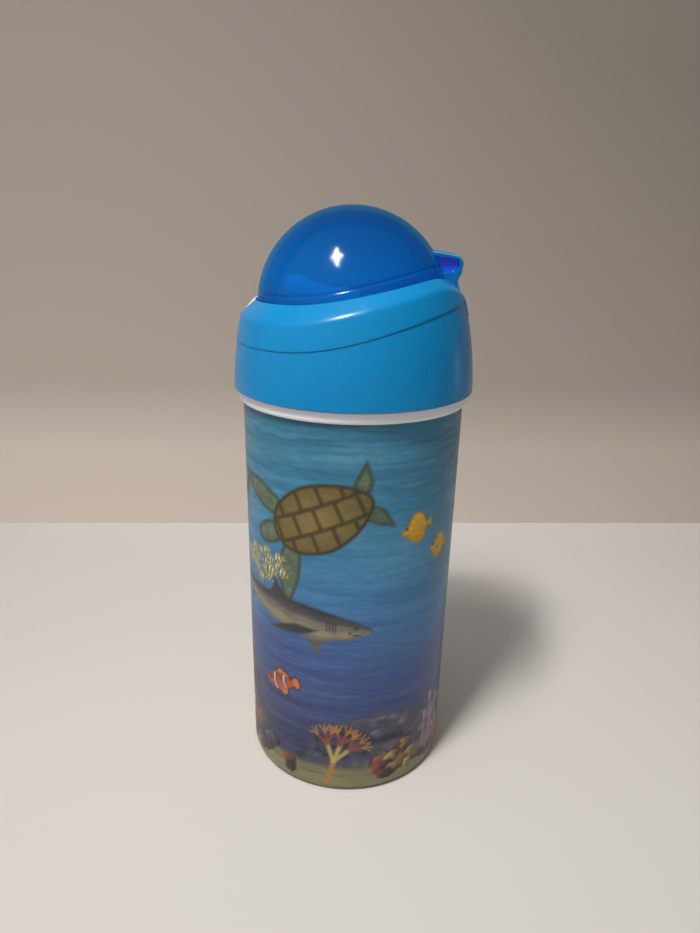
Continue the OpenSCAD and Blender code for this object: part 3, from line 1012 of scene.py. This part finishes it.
def paint_shark(
    p, u0, v0, length, turn=0.0, flip=1, back=tone(66, 54, 50), side=tone(132, 112, 90),
    belly=tone(126, 122, 88), cover=1.0, far=0.0,
):
    """A shark seen from its side. Its snout is at the place given; far fades it into the water."""
    water = tone(62, 84, 128)
    back, side, belly = (t * (1 - far) + water * far for t in (back, side, belly))
    where, x, y = p.near(u0, v0, length * 1.1, length * 0.3, turn, flip)
    place = (where, x / length, y / length)
    x, y = place[1], place[2]
    soft = 0.55 / length

    def fin(points, tint):
        p.shape(place, points, tint, soft, cover)

    fin(
        [
            (0.90, 0.02, 1), (0.965, 0.07), (1.03, 0.15, 1), (0.995, 0.03), (0.975, 0.0), (1.01, -0.07, 1),
            (0.94, -0.02),
        ],
        back,
    )
    fin([(0.70, -0.035, 1), (0.745, -0.075, 1), (0.755, -0.03, 1)], back)
    fin([(0.20, -0.055, 1), (0.235, -0.10), (0.25, -0.165, 1), (0.30, -0.11), (0.325, -0.06, 1)], side * 0.8)
    top = np.interp(x, *np.array(SHARK_BACK).T)
    bottom = np.interp(x, *np.array(SHARK_BELLY).T)
    inside = distance_within(
        x, y, outline_through([(*q,) for q in SHARK_BACK] + [(*q,) for q in SHARK_BELLY[:0:-1]], 6),
    )
    rise = np.clip((y - bottom) / np.maximum(top - bottom, 1e-3), 0, 1)
    tones = blend_tones(
        rise, belly * 0.82, belly, belly * 1.05, side, side * 0.95, back * 1.1, back, back * 0.75,
    )
    tones += 7 * p.clouds(5, 0.9, where)[:, None]
    tones += 14 * (soft_step(x, 0.3, 0.0) * soft_step(rise, 0.5, 0.75))[:, None]
    p.paint(soft_step(inside, -soft, soft) * cover, tones, where)
    fin([(0.43, 0.074, 1), (0.48, 0.11), (0.545, 0.17, 1), (0.54, 0.11), (0.565, 0.062, 1)], back * 0.9)
    fin([(0.72, 0.04, 1), (0.765, 0.078, 1), (0.765, 0.036, 1)], back * 0.9)
    fin(
        [(0.26, -0.035, 1), (0.36, -0.085), (0.55, -0.125, 1), (0.46, -0.07), (0.38, -0.035, 1)],
        back * 0.85,
    )
    for k in range(4):
        p.stroke(
            place, [(0.185 + 0.014 * k, 0.022), (0.178 + 0.014 * k, -0.024)], 0.45 / length, back * 0.6,
            0.6 * cover,
        )
    p.stroke(
        place, [(0.045, -0.016), (0.085, -0.024), (0.115, -0.02)], 0.4 / length, back * 0.5, 0.8 * cover,
    )
    p.shape(
        place, [(0.073, 0.012), (0.081, 0.018), (0.089, 0.012), (0.081, 0.006)], tone(18, 18, 20), soft,
        cover,
    )


def paint_small_fish(p, u0, v0, size, turn, flip, body, stripe, fins, bands=3):
    """A small deep-bodied fish with bands; size is its length."""
    where, x, y = p.near(u0, v0, size, size, turn, flip)
    place = (where, x / size, y / size)
    x, y = place[1], place[2]
    soft = 0.42 / size
    p.shape(place, [(0.3, 0.0), (0.5, 0.2, 1), (0.46, 0.0), (0.5, -0.2, 1)], fins, soft)
    p.shape(place, [(-0.2, 0.16, 1), (-0.02, 0.37), (0.26, 0.24, 1), (0.24, 0.08)], fins, soft)
    p.shape(place, [(-0.1, -0.18, 1), (0.06, -0.36), (0.24, -0.2, 1), (0.22, -0.06)], fins, soft)
    inside = p.shape(
        place,
        [
            (-0.5, -0.01), (-0.36, 0.12), (-0.1, 0.25), (0.18, 0.16), (0.34, 0.03), (0.34, -0.04),
            (0.16, -0.17), (-0.12, -0.25), (-0.38, -0.12),
        ],
        body + 30 * (place[2] > 0)[:, None], soft,
    )
    on = soft_step(inside, -soft, soft)
    for k in range(bands):
        middle = -0.26 + 0.26 * k + 0.1 * (y * y * 8 - 0.2)
        p.paint(on * soft_step(-abs(x - middle), -0.062, -0.03), stripe, where)
    p.shape(place, [(-0.37, 0.06), (-0.33, 0.09), (-0.29, 0.05), (-0.33, 0.02)], tone(20, 20, 24), soft)


def paint_school(p, u0, v0, count, spread_u, spread_v, seed, size=5.2):
    """Many small striped fish, each a little turned."""
    random = np.random.default_rng(seed)
    for k in range(count):
        a = 2.4 * k
        r = math.sqrt((k + 0.5) / count)
        u = u0 + spread_u * r * math.cos(a) + random.uniform(-0.8, 0.8)
        v = v0 + spread_v * r * math.sin(a) + random.uniform(-0.8, 0.8)
        paint_small_fish(
            p, u, v, size * random.uniform(0.8, 1.25), random.uniform(-25, 25), random.choice([-1, 1]),
            tone(176, 178, 150), tone(38, 40, 48), tone(190, 160, 44),
        )


def paint_round_fish(p, u0, v0, size, turn, flip, body, edge):
    """A single deep-bodied fish of one colour with a darker edge."""
    place = p.near(u0, v0, size, size, turn, flip)
    place = (place[0], place[1] / size, place[2] / size)
    soft = 0.5 / size
    whole = [
        (-0.5, 0.0), (-0.3, 0.16), (-0.08, 0.42), (0.2, 0.36), (0.32, 0.08), (0.5, 0.24, 1), (0.5, -0.2, 1),
        (0.32, -0.06), (0.16, -0.34), (-0.12, -0.38), (-0.34, -0.16),
    ]
    inside = p.shape(place, whole, edge, soft)
    tones = blend_tones(
        np.clip(0.5 - 1.4 * place[2], 0, 1), body * 1.05, body, body * 0.85,
    ) + 8 * p.clouds(2.5, 1.2, place[0])[:, None]
    p.paint(soft_step(inside, 0.02, 0.07), tones, place[0])
    p.shape(place, [(-0.36, 0.08), (-0.32, 0.11), (-0.28, 0.07), (-0.32, 0.04)], tone(24, 22, 24), soft)
    p.stroke(place, [(-0.18, 0.02), (-0.1, -0.06), (-0.02, -0.02)], 0.35 / size, edge, 0.8)


def paint_band_fish(p, u0, v0, size, turn, flip):
    """An orange fish with two pale bands and dark-edged fins."""
    place = p.near(u0, v0, size, size, turn, flip)
    place = (place[0], place[1] / size, place[2] / size)
    where, x, y = place
    soft = 0.42 / size
    orange, dark, pale = tone(178, 84, 44), tone(44, 30, 34), tone(196, 186, 196)
    for points in (
        [(0.3, 0.02), (0.42, 0.16), (0.54, 0.12), (0.56, -0.08), (0.44, -0.16)],
        [(-0.2, 0.16, 1), (0.02, 0.34), (0.26, 0.22), (0.3, 0.08)],
        [(-0.1, -0.16, 1), (0.02, -0.34), (0.16, -0.3), (0.22, -0.1)],
    ):
        inside = p.shape(place, points, dark, soft)
        p.paint(soft_step(inside, 0.015, 0.045), tone(206, 122, 52), where)
    body = [
        (-0.46, 0.0), (-0.34, 0.13), (-0.08, 0.22), (0.18, 0.15), (0.36, 0.05), (0.36, -0.05), (0.16, -0.15),
        (-0.1, -0.21), (-0.34, -0.12),
    ]
    inside = distance_within(x, y, outline_through(body))
    tones = blend_tones(np.clip(0.5 + 2.2 * y, 0, 1), orange * 1.15, orange, orange * 0.72)
    on = soft_step(inside, -soft, soft)
    p.paint(on, tones, where)
    for middle, half in ((-0.2, 0.045), (0.1, 0.04)):
        bend = middle + 0.35 * y * y * 4
        p.paint(on * soft_step(-abs(x - bend), -half - 0.03, -half), dark, where)
        p.paint(on * soft_step(-abs(x - bend), -half, -half + 0.02), pale, where)
    p.shape(place, [(-0.35, 0.05), (-0.32, 0.08), (-0.29, 0.05), (-0.32, 0.02)], tone(16, 14, 16), soft)


def paint_turtle(p, u0, v0, size, turn):
    """A sea turtle from above and behind: shell with plates, head and four flippers."""
    place = p.near(u0, v0, size, size, turn)
    place = (place[0], place[1] / size, place[2] / size)
    where, x, y = place
    soft = 0.5 / size
    skin, shell = tone(92, 112, 92), tone(96, 84, 52)
    for points in (
        [(-0.2, 0.14), (-0.34, 0.34), (-0.62, 0.5, 1), (-0.5, 0.28), (-0.32, 0.1)],
        [(-0.2, -0.14), (-0.3, -0.36), (-0.5, -0.56, 1), (-0.46, -0.3), (-0.32, -0.1)],
        [(0.3, 0.12), (0.46, 0.26, 1), (0.44, 0.1), (0.36, 0.04)],
        [(0.3, -0.12), (0.46, -0.26, 1), (0.44, -0.1), (0.36, -0.04)],
        [(-0.34, 0.07), (-0.5, 0.07), (-0.56, 0.0), (-0.5, -0.07), (-0.34, -0.07)],
    ):
        inside = p.shape(place, points, skin * 0.7, soft)
        p.paint(soft_step(inside, 0.01, 0.04), skin + 12 * p.clouds(1.8, 1.4, where)[:, None], where)
    inside = p.shape(
        place,
        [
            (-0.36, 0.0), (-0.26, 0.17), (0.0, 0.24), (0.26, 0.16), (0.4, 0.0), (0.26, -0.16), (0.0, -0.24),
            (-0.26, -0.17),
        ],
        shell * 0.6, soft,
    )
    on = soft_step(inside, 0.012, 0.03)
    p.paint(on, shell * (1.15 - 0.9 * np.hypot(x * 0.9, y * 1.4))[:, None] + tone(24, 20, 6), where)
    cell_x, cell_y = 0.155, 0.16
    row = np.round(y / cell_y)
    grid_x = (x / cell_x + 0.5 * (row % 2)) % 1
    seam = np.minimum(abs(grid_x - 0.5) * cell_x * -1 + cell_x / 2, cell_y / 2 - abs(y - row * cell_y))
    p.paint(0.7 * on * soft_step(-seam, -0.02, -0.006), shell * 0.5, where)


def paint_picture(p):
    """The whole print: an undersea scene round the bottle, with painted shade over its rounded foot. u = 0 is
    the middle of its front.
    """
    ink, slate, mauve, mist = tone(40, 42, 58), tone(68, 72, 92), tone(96, 90, 106), tone(128, 128, 138)
    wine, rust, amber, straw = tone(70, 50, 66), tone(142, 74, 56), tone(176, 122, 62), tone(190, 168, 92)
    paint_water(p)
    for u, v, length, turn, flip in (
        (34, 113, 24, 6, 1), (-88, 110, 26, -6, -1), (96, 62, 30, -6, 1), (-46, 52, 26, 4, -1),
    ):
        paint_shark(
            p, u, v, length, turn, flip, tone(52, 92, 132), tone(150, 178, 196), tone(128, 158, 180), 0.55,
            0.3,
        )
    paint_bank(p, 14, 34, 30, 11, ink, slate, slate, mauve, mist)
    paint_bank(p, -52, 24, 42, 27, ink, tone(60, 54, 82), tone(74, 66, 90), tone(88, 76, 92))
    paint_bank(p, -50, 24, 24, 23, wine, tone(84, 68, 76), mauve, rust, amber)
    paint_bank(p, 100, 32, 40, 31, ink, slate, slate, mauve, mist)
    paint_bank(p, -98, 18, 24, 41, wine, slate, mauve, amber)
    paint_sand(p)
    paint_turtle(p, -10, 99, 46, 24)
    paint_shark(p, 8, 62, 66, -6, -1, tone(66, 68, 72), tone(122, 116, 104), tone(134, 132, 108))
    paint_shark(p, 108, 92, 70, 5, 1, tone(80, 62, 50), tone(150, 126, 98), tone(124, 120, 80))
    paint_shark(p, -96, 74, 58, -3, -1, tone(70, 72, 80), tone(120, 124, 128), tone(140, 140, 122))
    paint_school(p, -32, 79, 18, 11, 5.5, 5)
    paint_school(p, 84, 72, 18, 13, 7, 15)
    paint_round_fish(p, 22, 95, 12.5, 8, 1, tone(214, 166, 40), tone(168, 126, 44))
    paint_round_fish(p, 33, 86, 11, -8, 1, tone(208, 164, 44), tone(160, 120, 44))
    paint_round_fish(p, -66, 96, 12, 6, -1, tone(84, 90, 58), tone(104, 68, 46))
    paint_band_fish(p, -24, 38, 15, 14, 1)
    paint_band_fish(p, 66, 46, 16, -12, -1)
    for u, v, size, lean in (
        (-6, 14, 20, 0.2), (44, 12, 20, -0.2), (104, 16, 24, 0.15), (-82, 12, 20, -0.1),
    ):
        paint_coral(p, u, v, size, lean, (amber, rust, straw))
    paint_knobs(p, -34, 17, 15, 44, 5, wine, mauve, slate, rust)
    paint_knobs(p, 20, 15, 11, 34, 9, amber, straw, rust, wine, mauve)
    paint_knobs(p, 100, 22, 20, 46, 13, mauve, slate, amber, wine)
    paint_tubes(p, 32, 9, (14, 20, 12, 17), tone(118, 88, 126), tone(170, 142, 170))
    paint_tubes(p, -54, 14, (22, 14, 9, 5), tone(166, 162, 52), tone(196, 196, 84))
    # Painted shade: the print darkens over the rounded foot, below about 3 mm.
    p.paint(0.5 * soft_step(-p.v, -3.0, -0.5), tone(84, 82, 60))
    return np.clip(p.rgb, 4, 250)


# ---------------------------------------------------------------- the printed wall
def make_wrap():
    cols, rows = 460, 200
    outer = arc(FOOT_R - CORNER_R, CORNER_R, CORNER_R, -60, 0, 7)
    outer = np.concatenate([outer, [(film_r(z), z) for z in np.linspace(CORNER_R, WALL_H - 0.1, rows)[1:]]])
    inner = [(film_r(WALL_H) - FILM_T + 0.02, WALL_H - 0.1), (film_r(CORNER_R) - FILM_T, CORNER_R)]
    inner += arc(FOOT_R - CORNER_R, CORNER_R, CORNER_R - FILM_T, 0, -60, 4)[1:].tolist()
    profile = np.concatenate([outer, inner])
    points = revolve(profile, cols)
    film = mesh_object("film", points, grid_faces(len(profile), cols, close_rows=True), 50)
    x, y, z = points.reshape(-1, 3).T
    around = 2 * math.pi * PRINT_R
    painted = paint_picture(Picture(np.arctan2(x, -y) * PRINT_R, z, around)) / 255
    linear = np.where(painted <= 0.04045, painted / 12.92, ((painted + 0.055) / 1.055) ** 2.4)
    values = np.column_stack([np.clip(linear * PRINT_GAIN, 0, 1), np.ones(len(linear))])
    film.data.attributes.new("paint", "FLOAT_COLOR", "POINT").data.foreach_set("color", values.ravel())
    g = Graph("printed_film")
    paint = g.node("Attribute", attribute_name="paint").outputs["Color"]
    strokes = g.remap(g.noise(900, 3, 0.6, g.stretched((0.3, 0.3, 1))), 0.3, 0.7, 0.88, 1.12)
    g.set(
        Base_Color=g.mix(1.0, paint, strokes, "MULTIPLY"),
        Roughness=g.remap(g.noise(150, 3), 0.3, 0.7, 0.34, 0.42),
        Specular_IOR_Level=0.45,
    )
    g.bump(g.noise(500, 2, 0.5, g.stretched((1, 1, 0.3))), 0.15, 0.02)
    place(film, "bottle", "printed_film", g.material, "print_wrap")


# ---------------------------------------------------------------- the CAD nodes that show as they are
def finish_cad_nodes():
    white, soft, metal, clear = white_plastic(), silicone(), steel(), straw_plastic()
    finishes = {
        "bottle_body": white,
        "lid_insert": white,
        "spout_barrel": white,
        "spout_mouthpiece": soft,
        "spout_seal": soft,
        "vent_valve": soft,
        "lid_gasket": soft,
        "straw_sleeve": soft,
        "hinge_pin": metal,
        "button_spring": metal,
        "straw": clear,
    }
    for name, finish in finishes.items():
        nodes[name].data.materials.clear()
        nodes[name].data.materials.append(finish)


bpy.context.scene.view_settings.view_transform = "Standard"
add_camera()
add_stage()
add_lights()
make_wrap()
make_collar()
make_dome()
make_button()
finish_cad_nodes()
